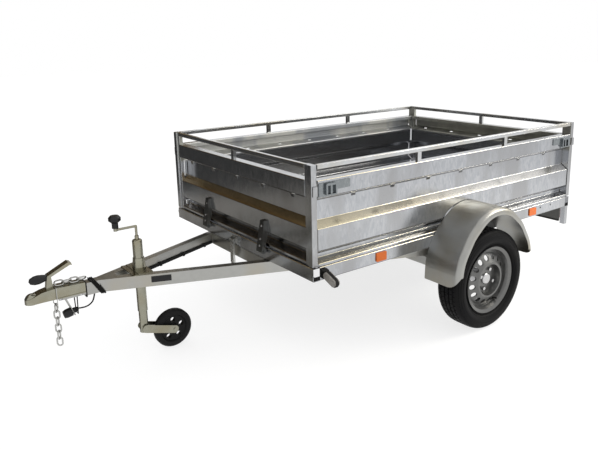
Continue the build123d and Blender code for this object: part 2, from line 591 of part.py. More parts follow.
wall = TYRE_RADIUS - RIM_FLANGE_RADIUS
half = TYRE_WIDTH / 2
tyre_wall = [(0.06, BEAD_HALF), (0.42, half), (0.80, half - 7), (0.95, half - 19), (1, half - 36)]
tyre_half = [(RIM_FLANGE_RADIUS - BEAD, BEAD_HALF)]
tyre_half += [(RIM_FLANGE_RADIUS + share * wall, y) for share, y in tyre_wall]
tyre = turned([(r, WHEEL_Y - y) for r, y in tyre_half] + [(r, WHEEL_Y + y) for r, y in tyre_half[::-1]])
flange = RIM_WIDTH / 2
bead = RIM_FLANGE_RADIUS - BEAD
rim_outside = [(RIM_FLANGE_RADIUS, -flange), (RIM_FLANGE_RADIUS, -flange + 4), (bead, -BEAD_HALF),
               (bead, BEAD_HALF), (RIM_FLANGE_RADIUS, flange - 4), (RIM_FLANGE_RADIUS, flange)]
disc = DISC_FACE - WHEEL_Y
disc_front = [(0.870, 16), (0.845, 2), (0.800, 4), (0.530, CROWN), (0.470, CROWN), (0.420, RIM_SHEET)]
disc_back = [(0.430, 0), (0.480, CROWN - 6), (0.520, CROWN - 6), (0.790, -2), (0.845, -4)]
rim_inside = [(bead - 5, flange - 8)] + [(share * RIM_FLANGE_RADIUS, disc + rise) for share, rise in disc_front]
rim_inside += [(HUB_RADIUS, disc + RIM_SHEET), (HUB_RADIUS, disc)]
rim_inside += [(share * RIM_FLANGE_RADIUS, disc + rise) for share, rise in disc_back]
rim_inside += [(bead - 5, 4 - BEAD_HALF)]
rim = turned([(r, WHEEL_Y + y) for r, y in rim_outside + rim_inside])
for x, z in ring(RIM_HOLES, 14.6, RIM_HOLE_CIRCLE):
    rim -= rod_y(x, DISC_FACE - 16, DISC_FACE + CROWN - 6, z, RIM_HOLE_RADIUS)
drum = ARM_OUT + CLEAR
cap_end = DISC_FACE + 16
spindle_end = WHEEL_Y + 26
hub_points = [(SPINDLE_RADIUS + PIN_GAP, drum), (2 * HUB_RADIUS, drum), (2 * HUB_RADIUS, drum + 34),
              (HUB_RADIUS + 8, drum + 40), (HUB_RADIUS + 8, DISC_FACE - 10), (2.2 * HUB_RADIUS, DISC_FACE - 10),
              (2.2 * HUB_RADIUS, DISC_FACE), (HUB_RADIUS, DISC_FACE), (HUB_RADIUS, cap_end - 4),
              (HUB_RADIUS - 4, cap_end), (0, cap_end), (0, spindle_end),
              (SPINDLE_RADIUS + PIN_GAP, spindle_end)]
hub = turned(hub_points)
for x, z in ring(BOLT_COUNT, 24, BOLT_CIRCLE):
    rim -= rod_y(x, DISC_FACE - 1, DISC_FACE + RIM_SHEET + 1, z, BOLT_RADIUS)
    bolt = rod_y(x, DISC_FACE - 1, DISC_FACE + RIM_SHEET, z, BOLT_RADIUS)
    head = along_y(Pos(x, z) * RegularPolygon(10, 6), DISC_FACE + RIM_SHEET, DISC_FACE + RIM_SHEET + 14)
    hub += bolt + head
for piece, solid in (("tyre", tyre), ("rim", rim), ("hub", hub)):
    save(f"{piece}_left", solid)
    save(f"{piece}_right", other_side(solid))

# Tilt hinge: chassis forks with pins, bed lugs between the fork plates
TILT_Y = 0.643 * BOX_HALF
LUG = 8
LUG_RADIUS = 24
FORK_GAP = 6              # fork plate beside the middle of the lug
forks = []
lugs = []
fork_front = CROSS_X - CROSS_SIZE / 2
for side in (1, -1):
    y = side * TILT_Y
    fork = rod_y(TILT_X, y - FORK_GAP - LUG - 4, y + FORK_GAP + LUG + 4, TILT_Z, TILT_PIN)
    for inner in (-LUG - FORK_GAP, FORK_GAP):
        cheek = outline([(fork_front, BEAM_TOP), (fork_front, BEAM_BOTTOM), (TILT_X, TILT_Z - LUG_RADIUS),
                         (TILT_X, TILT_Z + LUG_RADIUS)])
        fork += along_y(cheek, y + inner, y + inner + LUG)
        fork += rod_y(TILT_X, y + inner, y + inner + LUG, TILT_Z, LUG_RADIUS)
    forks.append(fork)
    lug = block(TILT_X - FRAME_DEPTH / 2, TILT_X + FRAME_DEPTH / 2, y - LUG / 2, y + LUG / 2,
                TILT_Z, FRAME_BOTTOM)
    lug += rod_y(TILT_X, y - LUG / 2, y + LUG / 2, TILT_Z, FRAME_DEPTH / 2)
    lug -= rod_y(TILT_X, y - LUG, y + LUG, TILT_Z, TILT_PIN + PIN_GAP)
    lugs.append(lug)
save("tilt_forks", *forks)
save("tilt_lugs", *lugs)

# Tilt lock on the front member: cheeks with a pin and a hanging bar that ends in an eye
LOCK_DROP = 88
LOCK_BAR = 13             # half width of the hanging bar
lock_out = BOX_FRONT + 24
lock = block(BOX_FRONT, BOX_FRONT + 4, -30, 30, FRAME_BOTTOM + 8, FRAME_TOP - 14)
cheek = outline([(BOX_FRONT + 3, FRAME_BOTTOM + 12), (BOX_FRONT + 3, FRAME_TOP - 18),
                 (lock_out, FRAME_TOP - 24), (lock_out, FRAME_BOTTOM + 20)])
for y in (-LOCK_BAR - 9, LOCK_BAR + 3):
    lock += along_y(cheek, y, y + 6)
lock += rod_y(lock_out - 6, -LOCK_BAR - 14, LOCK_BAR + 14, FRAME_BOTTOM + 32, 6)
eye_z = FRAME_BOTTOM - LOCK_DROP
bar_top = FRAME_BOTTOM + 36
bar = outline([(-LOCK_BAR - 3, eye_z), (LOCK_BAR + 3, eye_z), (LOCK_BAR, bar_top), (-LOCK_BAR, bar_top)])
lock += along_x(bar, lock_out - 12, lock_out)
lock += rod_x(lock_out - 12, lock_out, 0, eye_z, LOCK_BAR + 3)
lock -= rod_x(lock_out - 20, lock_out + 4, 0, eye_z, LOCK_BAR - 5)
save("tilt_lock", lock)

# Coupling: pressed channel with a flanged foot, domed cup and ball socket
FOOT = 3
CHANNEL_CREST = BALL_X - 96
NECK_X = BALL_X - 40      # where the channel has drawn in to the cup


def channel_top(x):
    """Top of the channel, which rises a little towards the cup."""
    return CHANNEL_TOP - 4 * (CHANNEL_CREST - x) / (CHANNEL_CREST - CHANNEL_REAR)


side_view = [(CHANNEL_REAR, CHANNEL_LOW), (CHANNEL_REAR, channel_top(CHANNEL_REAR)),
             (CHANNEL_CREST, CHANNEL_TOP), (NECK_X, BALL_Z + 30), (NOSE_X, BALL_Z + 6),
             (NOSE_X, BALL_Z - 16), (NECK_X, BALL_Z - 16), (CHANNEL_CREST, CHANNEL_LOW)]
half_plan = [(CHANNEL_REAR, CHANNEL_HALF), (CHANNEL_CREST + 4, CHANNEL_HALF), (NECK_X, CUP_RADIUS - 3),
             (BALL_X, CUP_RADIUS - 1)]
plan = along_z(outline(half_plan + [(x, -y) for x, y in half_plan[::-1]]), CHANNEL_LOW - 40, CHANNEL_TOP + 40)
plan += rod_z(BALL_X, 0, CHANNEL_LOW - 40, CHANNEL_TOP + 40, CUP_RADIUS)
coupling = along_y(outline(side_view), -2 * CUP_RADIUS, 2 * CUP_RADIUS) & plan
dome = Pos(BALL_X, 0, BALL_Z) * Sphere(CUP_RADIUS - 0.5)
coupling += dome & block(BALL_X - 50, NOSE_X, -CUP_RADIUS, CUP_RADIUS, BALL_Z - 12, BALL_Z + 60)
foot_half = CHANNEL_HALF + FOOT
coupling += block(CHANNEL_REAR, CHANNEL_CREST, -foot_half, foot_half, CHANNEL_LOW, CHANNEL_LOW + 4)
coupling -= block(CHANNEL_REAR - 1, CHANNEL_CREST, -NOSE_HALF, NOSE_HALF, CHANNEL_LOW - 1, BEAM_TOP)
coupling -= Pos(BALL_X, 0, BALL_Z) * Sphere(BALL_RADIUS + PIN_GAP)
coupling -= rod_z(BALL_X, 0, CHANNEL_LOW - 20, BALL_Z, BALL_RADIUS + PIN_GAP)
save("coupling", coupling)

# Coupling lever: post, channel arm rising to the rear and a rounded grip that points forward
LEVER_X = BALL_X - 73
LEVER_Z = CHANNEL_TOP + 42
ARM_HALF_WIDTH = 20
GRIP = [(0, 0), (12, 0), (17, 18), (21, 38), (20, 56), (13, 74), (0, 80)]   # radius, distance along
post_view = [(-24, BALL_Z - LEVER_Z), (-14, 23.5), (1, 16.5), (16, BALL_Z - LEVER_Z)]
arm_view = [(-3, 7), (2, 18), (-94, 64), (-106, 60), (-110, 47), (-101, 50)]
lever_place = Pos(LEVER_X, 0, LEVER_Z)
lever_arm = along_y(outline(arm_view), -ARM_HALF_WIDTH, ARM_HALF_WIDTH)
lever_arm -= Pos(-1.4, 0, -3) * along_y(outline(arm_view), STEEL - ARM_HALF_WIDTH, ARM_HALF_WIDTH - STEEL)
lever = lever_place * (along_y(outline(post_view), -14, 14) + lever_arm)
grip_form = revolve(make_face(Polyline(*[(r, 0, x) for r, x in GRIP], close=True)), Axis.Z)
grip = Pos(LEVER_X - 2, 0, LEVER_Z + 8) * Rot(0, 93, 0) * grip_form
save("coupling_lever", lever - coupling - grip)
save("coupling_grip", grip)

# Jockey wheel: clamp sleeve on a cross strip, outer tube with crank, swivelling leg and wheel
TUBE_TOP = BEAM_TOP + 152
TUBE_BOTTOM = BEAM_BOTTOM - 158
LEG_TUBE = JOCKEY_TUBE - 3
LEG_BOTTOM = JOCKEY_RADIUS + 24
JOCKEY_AXLE_X = JOCKEY_X - JOCKEY_TRAIL
JOCKEY_HALF = 20          # half of the wheel width
JOCKEY_AXLE = 8
FORK_IN = JOCKEY_HALF + 7
FORK_PLATE = 5
CRANK_Z = TUBE_TOP + 66
CRANK_REACH = 100
clamp_half = beam_outer(JOCKEY_X) - BEAM_SPAN / 2
bore = JOCKEY_TUBE + PIN_GAP
sleeve = [(bore, -40), (JOCKEY_TUBE + 8, -40), (JOCKEY_TUBE + 8, 14), (JOCKEY_TUBE + 3, 60), (bore, 60)]
sleeve_face = make_face(Polyline(*[(r, 0, z) for r, z in sleeve], close=True))
clamp = Pos(JOCKEY_X, 0, BEAM_TOP) * revolve(sleeve_face, Axis.Z)
clamp += block(JOCKEY_X - 36, JOCKEY_X + 36, -clamp_half, clamp_half, BEAM_TOP, BEAM_TOP + 5)
clamp += block(JOCKEY_X + 30, JOCKEY_X + 62, -clamp_half, clamp_half, BEAM_TOP, BEAM_TOP + 3)
clamp -= rod_z(JOCKEY_X, 0, BEAM_TOP - 50, BEAM_TOP + 80, bore)
save("jockey_clamp", clamp)
mast = rod_z(JOCKEY_X, 0, TUBE_BOTTOM, TUBE_TOP, JOCKEY_TUBE)
mast = fillet(mast.faces().sort_by(Axis.Z)[-1].edges(), 9)
mast -= rod_z(JOCKEY_X, 0, TUBE_BOTTOM - 1, TUBE_TOP - 20, LEG_TUBE + PIN_GAP)
save("jockey_tube", mast)
CRANK_ROD = 6
crank = rod_z(JOCKEY_X, 0, TUBE_TOP + 18, CRANK_Z, CRANK_ROD) + rod_z(JOCKEY_X, 0, TUBE_TOP, TUBE_TOP + 18, 10)
crank += rod_x(JOCKEY_X, JOCKEY_X + CRANK_REACH, 0, CRANK_Z, CRANK_ROD)
crank += Pos(JOCKEY_X, 0, CRANK_Z) * Sphere(CRANK_ROD)
crank += rod_z(JOCKEY_X + CRANK_REACH, 0, CRANK_Z - CRANK_ROD, CRANK_Z + 9, CRANK_ROD + 3)
save("jockey_crank", crank)
knob_half = [(0, 0), (15, 0), (15, 26), (29, 38), (29, 52), (20, 62), (0, 64)]
knob = revolve(make_face(Polyline(*[(r, 0, z) for r, z in knob_half], close=True)), Axis.Z)
save("jockey_knob", Pos(JOCKEY_X + CRANK_REACH, 0, CRANK_Z + 9) * knob)
leg = rod_z(JOCKEY_X, 0, LEG_BOTTOM, TUBE_TOP - 60, LEG_TUBE)
slope = atan2(LEG_BOTTOM + 22 - JOCKEY_RADIUS, JOCKEY_TRAIL)
fork_plate = Rot(0, 0, degrees(slope)) * SlotCenterToCenter(JOCKEY_TRAIL / cos(slope), 40)
fork_plate = Pos(JOCKEY_X - JOCKEY_TRAIL / 2, (LEG_BOTTOM + 22 + JOCKEY_RADIUS) / 2) * fork_plate
leg_arm = along_y(fork_plate, FORK_IN, FORK_IN + FORK_PLATE)
leg += leg_arm + other_side(leg_arm)
leg += block(JOCKEY_X - 14, JOCKEY_X + 14, -FORK_IN, FORK_IN, LEG_BOTTOM + 6, LEG_BOTTOM + 38)
leg += rod_y(JOCKEY_AXLE_X, -FORK_IN - FORK_PLATE - 4, FORK_IN + FORK_PLATE + 4, JOCKEY_RADIUS, JOCKEY_AXLE)
save("jockey_leg", leg)
# Wheel section: share of the radius, step from the side face
ROLLER = [(0.22, 0), (0.26, -8), (0.66, -8), (0.72, 0), (0.92, 0), (1, -9)]
WEB_HOLES = 5
WEB_HOLE_RADIUS = 0.13 * JOCKEY_RADIUS
roller_half = [(JOCKEY_AXLE + PIN_GAP, JOCKEY_HALF)]
roller_half += [(share * JOCKEY_RADIUS, JOCKEY_HALF + step) for share, step in ROLLER]
roller_points = roller_half + [(r, -y) for r, y in roller_half[::-1]]
wheel = Pos(JOCKEY_AXLE_X, 0, JOCKEY_RADIUS) * revolve(outline(roller_points), Axis.Y)
for x, z in ring(WEB_HOLES, 18, 0.46 * JOCKEY_RADIUS, JOCKEY_AXLE_X, JOCKEY_RADIUS):
    wheel -= rod_y(x, -JOCKEY_HALF, JOCKEY_HALF, z, WEB_HOLE_RADIUS)
save("jockey_wheel", wheel)

# Safety chain: a wire hoop round the coupling, links along its top and links hanging below
CHAIN_WIRE = 3.5
CHAIN_PITCH = 34
LINK_HALF = 12.5
LINK_GAP = 0.8
HANGING_LINKS = 6
TOP_LINKS = 4
HOOP_X = BALL_X - 98
HOOP_WIRE = 2
HOOP_LOW = CHANNEL_LOW - 38
LINK_SIDES = 6
WIRE_SIDES = 8


def wire(points, radius, closed=False):
    """Stiff wire bent sharply at points."""
    path = Polyline(*points, close=closed)
    start = path.location_at(0) * RegularPolygon(radius, WIRE_SIDES)
    return sweep(start, path=path, transition=Transition.RIGHT)


def link():
    """Chain link standing along Z, seen face-on along Y."""
    run = CHAIN_PITCH / 2 + CHAIN_WIRE - LINK_HALF
    angles = [radians(a) for a in (180, 135, 90, 45, 0)]
    half_turn = [(cos(a) * LINK_HALF, run + sin(a) * LINK_HALF) for a in angles]
    points = half_turn + [(-x, -z) for x, z in half_turn]
    path = Polyline(*[(x, 0, z) for x, z in points], close=True)
    start = Plane(origin=(points[0][0], 0, points[0][1]), z_dir=(path % 0))
    return sweep(start * RegularPolygon(CHAIN_WIRE, LINK_SIDES), path=path, transition=Transition.RIGHT)


hoop_half = CHANNEL_HALF + FOOT + HOOP_WIRE + 0.3
hoop_top = CHANNEL_TOP + HOOP_WIRE + 0.3
hoop = wire([(HOOP_X, hoop_half, HOOP_LOW), (HOOP_X, hoop_half, hoop_top), (HOOP_X, -hoop_half, hoop_top),
             (HOOP_X, -hoop_half, HOOP_LOW)], HOOP_WIRE, closed=True)
save("chain_hoop", hoop)
first = HOOP_LOW + HOOP_WIRE + LINK_GAP - CHAIN_PITCH / 2
links = []
for i in range(HANGING_LINKS):
    turn = 55 + 90 * (i % 2)
    links.append(Pos(HOOP_X, 0, first - i * (CHAIN_PITCH - LINK_GAP)) * Rot(0, 0, turn) * link())
for i in range(TOP_LINKS):
    roll = 45 + 90 * (i % 2)
    x = HOOP_X - 24 - i * (CHAIN_PITCH - LINK_GAP)
    rest = channel_top(x) + CHAIN_WIRE + LINK_HALF * sin(radians(45)) + PIN_GAP
    links.append(Pos(x, 0, rest) * Rot(roll, 0, 0) * Rot(0, 90, 0) * link())
save("safety_chain", *links)

# Lighting plug parked in a wire holder, its cable and the spare turns round the beam ends
PLUG_X = BALL_X - 182
PLUG_Z = BALL_Z - 98
PLUG_DIP = 12
PLUG = [(0, -12), (9, -12), (13, 4), (13, 16), (21, 18), (21, 42), (17, 56), (0, 56)]   # radius, distance along
HOLDER_GAP = 1.5
plug_form = revolve(make_face(Polyline(*[(r, 0, x) for r, x in PLUG], close=True)), Axis.Z)
save("plug", Pos(PLUG_X, 0, PLUG_Z) * Rot(0, 90 + PLUG_DIP, 0) * plug_form)
HOLDERS = [(44, 8), (-6, -6)]   # from the plug: top of a wire loop, bottom of the loop
holders = []
for top, bottom in HOLDERS:
    side = 13 + HOOP_WIRE + HOLDER_GAP
    low = PLUG_Z - bottom * sin(radians(PLUG_DIP)) - side
    corners = [(PLUG_X + top, CHANNEL_HALF - 6, TONGUE_LOW + 1), (PLUG_X + bottom, side, low)]
    holders.append(wire(corners + [(x, -y, z) for x, y, z in corners[::-1]], HOOP_WIRE) - nose)
save("plug_holder", *holders)
CABLE = 3.5
cable_end = BEAM_BOTTOM - 1.5
tail = 13.6               # plug centre to the end of the cable
cable_route = [(PLUG_X - tail * cos(radians(PLUG_DIP)), 0, PLUG_Z + tail * sin(radians(PLUG_DIP))),
               (PLUG_X - 46, 0, PLUG_Z - 2), (PLUG_X - 74, 6, PLUG_Z + 14), (PLUG_X - 84, 13, PLUG_Z + 36),
               (PLUG_X - 88, 18, cable_end)]
cable_path = FilletPolyline(*cable_route, radius=10 * CABLE)
cable = sweep(cable_path.location_at(0) * Circle(CABLE), path=cable_path)
save("plug_cable", cable)
TURN_GAP = 0.3
turn_pitch = 2 * CABLE + 2 * TURN_GAP
upright = CHANNEL_REAR - CABLE - TURN_GAP
turn_ends = [(BEAM_END_LOW - i * turn_pitch, BEAM_END_HIGH - i * turn_pitch) for i in range(3)]
turn_ends.append((upright, upright))
turns = []
for low_x, high_x in turn_ends:
    low_y = max(beam_outer(low_x), NOSE_HALF) + CABLE + TURN_GAP
    high_y = max(beam_outer(high_x), NOSE_HALF) + CABLE + TURN_GAP
    corners = [(low_x, low_y, BEAM_BOTTOM - CABLE - TURN_GAP), (high_x, high_y, BEAM_TOP + CABLE + TURN_GAP)]
    turns.append(wire(corners + [(x, -y, z) for x, y, z in corners[::-1]], CABLE, closed=True))
save("cable_turns", *turns)

# Wiring loom clipped along the inside of the right beam, and the bare plate on the left beam
LOOM_LOW = BEAM_BOTTOM + 4
LOOM_REAR = TIE_FRONT + CLEAR
LOOM_FRONT = NOSE_REAR - 60
loom = beam_slab(BEAM_SPAN, BEAM_SPAN + 10, LOOM_REAR, LOOM_FRONT, LOOM_LOW, LOOM_LOW + 14)
for x in spaced(LOOM_REAR + 60, LOOM_FRONT - 60, 4):
    loom += beam_slab(BEAM_SPAN, BEAM_SPAN + 13, x - 6, x + 6, LOOM_LOW - 3, LOOM_LOW + 17)
save("wiring_loom", other_side(loom))
plate = beam_slab(-2, 0, JOCKEY_X - 100, JOCKEY_X - 13, BEAM_BOTTOM + 20, BEAM_BOTTOM + 50)
save("beam_plate", plate)
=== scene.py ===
import math

import bmesh
import bpy
from mathutils import Matrix, Vector


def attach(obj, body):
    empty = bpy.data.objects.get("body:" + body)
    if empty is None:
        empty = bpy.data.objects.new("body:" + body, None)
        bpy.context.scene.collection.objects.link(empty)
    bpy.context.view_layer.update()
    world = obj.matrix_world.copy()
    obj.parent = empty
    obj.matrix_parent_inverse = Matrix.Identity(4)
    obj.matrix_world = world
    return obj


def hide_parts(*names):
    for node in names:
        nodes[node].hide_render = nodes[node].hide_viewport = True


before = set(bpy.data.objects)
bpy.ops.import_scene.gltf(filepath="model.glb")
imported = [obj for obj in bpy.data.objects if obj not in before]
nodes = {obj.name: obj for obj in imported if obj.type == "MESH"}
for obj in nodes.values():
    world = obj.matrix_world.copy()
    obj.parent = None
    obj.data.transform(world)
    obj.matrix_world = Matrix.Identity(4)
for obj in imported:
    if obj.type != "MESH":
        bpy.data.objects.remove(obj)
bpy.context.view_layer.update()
scene = bpy.context.scene

# The axle lies AXLE metres along X in the frame; other stations are millimetres from it
AXLE = -0.527
WHEEL_Y = 824
WHEEL_RADIUS = 272
SIDES = (("left", 1), ("right", -1))


def at(x, y, z):
    """Point given in millimetres ahead of the axle, left of the middle and above the ground."""
    return Vector((x / 1000 + AXLE, y / 1000, z / 1000))


# Materials

# Sockets of the mix node for numbers and colours: factor, first, second, and the output
MIX_SOCKETS = {"FLOAT": (0, 2, 3, 0), "RGBA": (0, 6, 7, 2)}


class Graph:
    """Node tree of one material."""

    def __init__(self, name):
        self.material = bpy.data.materials.new(name)
        self.material.use_nodes = True
        self.tree = self.material.node_tree
        self.tree.nodes.clear()
        self.out = self.tree.nodes.new("ShaderNodeOutputMaterial")

    def feed(self, socket, value):
        """Join an input to another socket, or set it."""
        if isinstance(value, bpy.types.NodeSocket):
            self.tree.links.new(value, socket)
        elif socket.type == "RGBA":
            socket.default_value = (*value, 1)
        else:
            socket.default_value = value

    def node(self, kind, **inputs):
        """New node with its inputs, whose names have _ in place of spaces."""
        n = self.tree.nodes.new(kind)
        for name, value in inputs.items():
            self.feed(n.inputs[name.replace("_", " ")], value)
        return n

    def work(self, kind, operation, *values):
        """Node of arithmetic on numbers or vectors."""
        n = self.tree.nodes.new(kind)
        n.operation = operation
        for socket, value in zip(n.inputs, values):
            self.feed(socket, value)
        return n

    def number(self, operation, *values):
        """Result of arithmetic on numbers."""
        return self.work("ShaderNodeMath", operation, *values).outputs["Value"]

    def mix(self, kind, factor, a, b):
        """Number or colour between a and b."""
        n = self.tree.nodes.new("ShaderNodeMix")
        n.data_type = kind
        *inputs, output = MIX_SOCKETS[kind]
        for index, value in zip(inputs, (factor, a, b)):
            self.feed(n.inputs[index], value)
        return n.outputs[output]

    def blend(self, factor, a, b):
        """Colour between a and b."""
        return self.mix("RGBA", factor, a, b)

    def ramp(self, value, start, end, low=0.0, high=1.0):
        """Value brought from the range between start and end to the one between low and high."""
        n = self.node("ShaderNodeMapRange", Value=value, From_Min=start, From_Max=end,
                      To_Min=low, To_Max=high)
        return n.outputs["Result"]


# Detail of the noises, the cells' share in a grain that has them, and the bump's height in metres
GRAIN_DETAIL = 5.0
BROAD_DETAIL = 3.0
CELL_SHARE = 0.5
BUMP_HEIGHT = 0.002
# Where a fold of the sheet takes a painted tone, by the upward part of its normal: painted reflection on
# ledges, painted shade on lips and undersides
LEDGE_RISE = (0.25, 0.55)
LEVEL_RISE = (0.99, 0.93)
LIP_RISE = (-0.03, -0.12)
UNDER_RISE = (-0.45, -0.65)
# Painted ledge reflections change from their front to their rear tone between these X, in metres
LEDGE_RUN = (0.35, -0.75)
# Heights, in metres, between which the inside changes to the top band's painted reflection
BAND_RISE = (0.815, 0.835)
# Dot product of a face's level normal and its place from the axle, in metres: below zero inside the box
INNER_REACH = (-0.02, -0.25)


def painted_fold_light(g, place, colour, ledge, lip, under):
    """Colour of a pressed sheet with painted light by the slope of its faces: a painted reflection on ledges
    (front and rear tones), painted shade on lower lips and undersides.
    """
    rise = g.node("ShaderNodeSeparateXYZ", Vector=place.outputs["Normal"]).outputs["Z"]
    along = g.node("ShaderNodeSeparateXYZ", Vector=place.outputs["Object"]).outputs["X"]
    slope = g.number("MULTIPLY", g.ramp(rise, *LEDGE_RISE), g.ramp(rise, *LEVEL_RISE))
    # Painted reflection on ledges that look up, darker at the front than at the rear
    colour = g.blend(slope, colour, g.blend(g.ramp(along, *LEDGE_RUN), *ledge))
    # Painted shade on the lower lips of folds and on undersides
    colour = g.blend(g.ramp(rise, *LIP_RISE), colour, lip)
    return g.blend(g.ramp(rise, *UNDER_RISE), colour, under)


def inner_faces(g, place):
    """Share by which a face looks into the box."""
    level = g.work("ShaderNodeVectorMath", "MULTIPLY", place.outputs["Normal"], (1, 1, 0))
    away = g.work("ShaderNodeVectorMath", "SUBTRACT", place.outputs["Object"], (AXLE, 0, 0))
    facing = g.work("ShaderNodeVectorMath", "DOT_PRODUCT", level.outputs["Vector"], away.outputs["Vector"])
    return g.ramp(facing.outputs["Value"], *INNER_REACH)


def surface(name, low, high, rough, metallic=0.0, scale=40.0, cells=False, stain=None, stain_scale=3.0,
            stain_cover=(0.45, 0.7), bump=0.0, bump_scale=200.0, stretch=(1, 1, 1), folds=None, inside=None,
            inside_rough=None, ior=1.5):
    """Procedural surface: grain between two colours, an optional broad stain, roughness that follows the
    grain, and a fine bump. A pressed sheet also has painted light for its folds (a painted reflection on
    ledges, painted shade on lips and undersides), and for the inside of the box: an even tone on the lower
    part, and a painted reflection on the top band, broken into patches."""
    g = Graph(name)
    place = g.node("ShaderNodeTexCoord")
    mapping = g.node("ShaderNodeMapping", Vector=place.outputs["Object"], Scale=stretch)
    mapped = mapping.outputs["Vector"]
    grain = g.node("ShaderNodeTexNoise", Vector=mapped, Scale=scale, Detail=GRAIN_DETAIL).outputs["Fac"]
    if cells:
        spangle = g.node("ShaderNodeTexVoronoi", Vector=mapped, Scale=scale)
        parts = g.node("ShaderNodeSeparateColor", Color=spangle.outputs["Color"])
        rest = g.number("MULTIPLY", grain, 1 - CELL_SHARE)
        grain = g.number("MULTIPLY_ADD", parts.outputs["Red"], CELL_SHARE, rest)
    colour = g.blend(grain, low, high)
    if stain:
        wide = g.node("ShaderNodeTexNoise", Vector=mapped, Scale=stain_scale, Detail=BROAD_DETAIL)
        cover = g.ramp(wide.outputs["Fac"], *stain_cover)
        colour = g.blend(cover, colour, stain)
    gloss = g.ramp(grain, 0.0, 1.0, *rough)
    if folds:
        colour = painted_fold_light(g, place, colour, **folds)
    if inside:
        lower, band, patch = inside
        inner = inner_faces(g, place)
        height = g.node("ShaderNodeSeparateXYZ", Vector=place.outputs["Object"]).outputs["Z"]
        top = g.ramp(height, *BAND_RISE)
        # Inside the box: an even tone below, and a painted reflection on the top band, broken into darker
        # patches
        colour = g.blend(inner, colour, g.blend(top, lower, g.blend(cover, band, patch)))
        gloss = g.mix("FLOAT", inner, gloss, g.mix("FLOAT", top, *inside_rough))
    shader = g.node("ShaderNodeBsdfPrincipled", Base_Color=colour, Metallic=metallic, Roughness=gloss,
                    IOR=ior)
    if bump:
        fine = g.node("ShaderNodeTexNoise", Vector=mapped, Scale=bump_scale, Detail=BROAD_DETAIL)
        relief = g.node("ShaderNodeBump", Strength=bump, Distance=BUMP_HEIGHT, Height=fine.outputs["Fac"])
        g.feed(shader.inputs["Normal"], relief.outputs["Normal"])
    g.feed(g.out.inputs["Surface"], shader.outputs["BSDF"])
    return g.material


SHEET_GRAIN = dict(metallic=1.0, scale=110, cells=True, bump=0.05, bump_scale=9, stretch=(1, 1, 0.35),
                   stain_scale=5.0, stain_cover=(0.48, 0.64), inside_rough=(0.22, 0.50))
# Painted shade: dark lips of the folds and darker undersides
FOLD_SHADE = dict(lip=(0.10, 0.10, 0.105), under=(0.45, 0.45, 0.46))
# Ledges: painted reflection, golden at the front and near white at the rear; inside: even tone below, painted
# reflection on the top band with patches
SHEET = surface("galvanised_sheet", (0.34, 0.355, 0.38), (0.49, 0.50, 0.52), (0.14, 0.25),
                stain=(0.34, 0.345, 0.355),
                folds=dict(ledge=((0.86, 0.78, 0.57), (1.0, 0.99, 0.96)), **FOLD_SHADE),
                inside=((0.47, 0.48, 0.50), (0.74, 0.74, 0.71), (0.46, 0.48, 0.51)), **SHEET_GRAIN)
# Gate ledges: painted reflection, brown at the front and pale at the rear; inside top band: painted
# reflection, warm, with dark patches
GATE = surface("galvanised_gate", (0.33, 0.34, 0.355), (0.50, 0.51, 0.52), (0.14, 0.25),
               stain=(0.33, 0.33, 0.335),
               folds=dict(ledge=((0.30, 0.22, 0.11), (0.80, 0.75, 0.62)), **FOLD_SHADE),
               inside=((0.47, 0.48, 0.50), (0.47, 0.47, 0.42), (0.33, 0.33, 0.30)), **SHEET_GRAIN)
RAIL = surface("galvanised_tube", (0.48, 0.49, 0.51), (0.60, 0.61, 0.62), (0.16, 0.26), 1.0, scale=70,
               bump=0.03, bump_scale=14, stain=(0.46, 0.44, 0.39), stain_scale=4.0)
FRAME = surface("galvanised_frame", (0.34, 0.34, 0.325), (0.44, 0.44, 0.42), (0.28, 0.42), 1.0, scale=30,
                bump=0.08, bump_scale=90, stain=(0.40, 0.38, 0.33), stain_scale=6.0)
# Galvanised steel coloured near black: painted shade on the lamp board, hinge leaves and straps
DARK = surface("galvanised_painted_shade", (0.09, 0.09, 0.086), (0.16, 0.16, 0.152), (0.26, 0.42), 1.0, scale=60,
               bump=0.06, bump_scale=120)
FENDER = surface("fender_steel", (0.31, 0.31, 0.295), (0.39, 0.39, 0.375), (0.30, 0.42), 1.0, scale=18,
                 bump=0.03, bump_scale=20, stain=(0.33, 0.30, 0.235), stain_scale=3.2)
ZINC = surface("zinc_plate", (0.25, 0.245, 0.195), (0.38, 0.37, 0.30), (0.20, 0.34), 1.0, scale=25,
               bump=0.05, bump_scale=80, stain=(0.29, 0.265, 0.19), stain_scale=9.0)
LATCH = surface("latch_plate", (0.17, 0.185, 0.195), (0.29, 0.31, 0.32), (0.20, 0.32), 1.0, scale=70,
                bump=0.04, bump_scale=60)
WIRE = surface("bright_wire", (0.40, 0.40, 0.39), (0.58, 0.58, 0.56), (0.20, 0.36), 1.0, scale=80)
RIM = surface("rim_paint", (0.13, 0.13, 0.128), (0.17, 0.17, 0.167), (0.26, 0.36), 0.85, scale=60,
              bump=0.02, bump_scale=25)
HUB = surface("hub_plate", (0.42, 0.42, 0.43), (0.58, 0.58, 0.58), (0.22, 0.34), 1.0, scale=60)
BLACK_STEEL = surface("black_steel", (0.022, 0.022, 0.022), (0.034, 0.034, 0.033), (0.42, 0.58), 0.3,
                      bump=0.10)
PLASTIC = surface("black_plastic", (0.006, 0.006, 0.007), (0.011, 0.011, 0.012), (0.26, 0.40), scale=60,
                  bump=0.04, bump_scale=300, ior=1.40)
RUBBER = surface("black_rubber", (0.006, 0.006, 0.006), (0.011, 0.011, 0.011), (0.46, 0.62), scale=50,
                 bump=0.08, bump_scale=250, ior=1.28)
